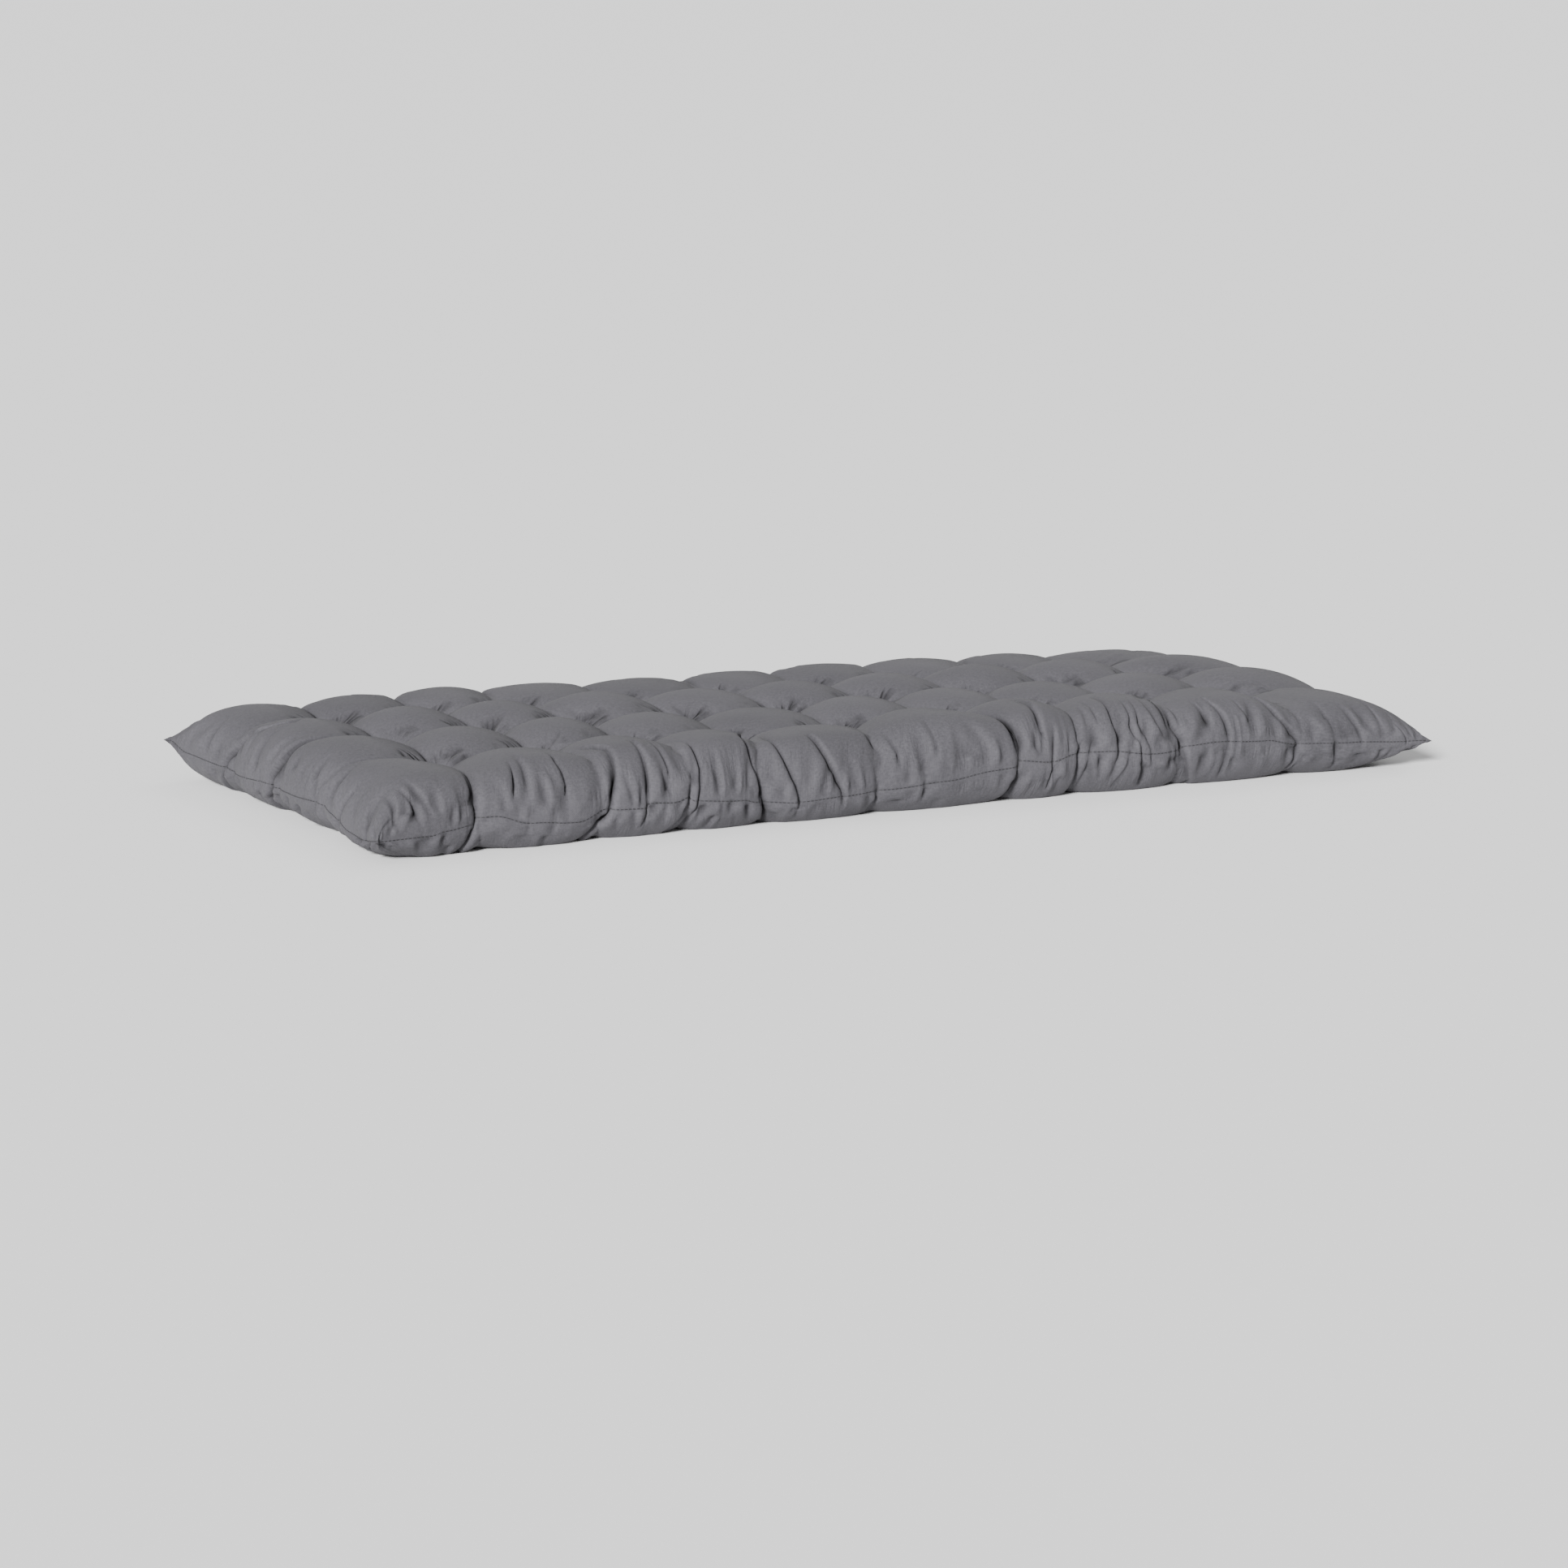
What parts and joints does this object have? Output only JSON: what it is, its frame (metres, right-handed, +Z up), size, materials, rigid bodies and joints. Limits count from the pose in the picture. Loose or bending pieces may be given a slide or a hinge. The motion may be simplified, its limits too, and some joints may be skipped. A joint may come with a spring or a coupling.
{
  "type": "tufted bench cushion",
  "caption": "Long filled bench cushion in plain grey cloth, knife-edge seam at mid height, thread tufts in a plain grid, crowned pillows, scalloped drawn-in sides and pointed corners.",
  "frame": {"origin": "centre of the cushion's outline on the surface it lies on", "axes": "+X along the length, -Y towards the front edge, +Z up out of the face"},
  "size_m": [1.18, 0.47, 0.088],
  "materials": {
    "cover_fabric": "fine plain-woven grey polyester, soft sheen, gathered at the seam and tufts"
  },
  "bodies": {
    "root": {"cushion": "cover_fabric"}
  },
  "joints": []
}
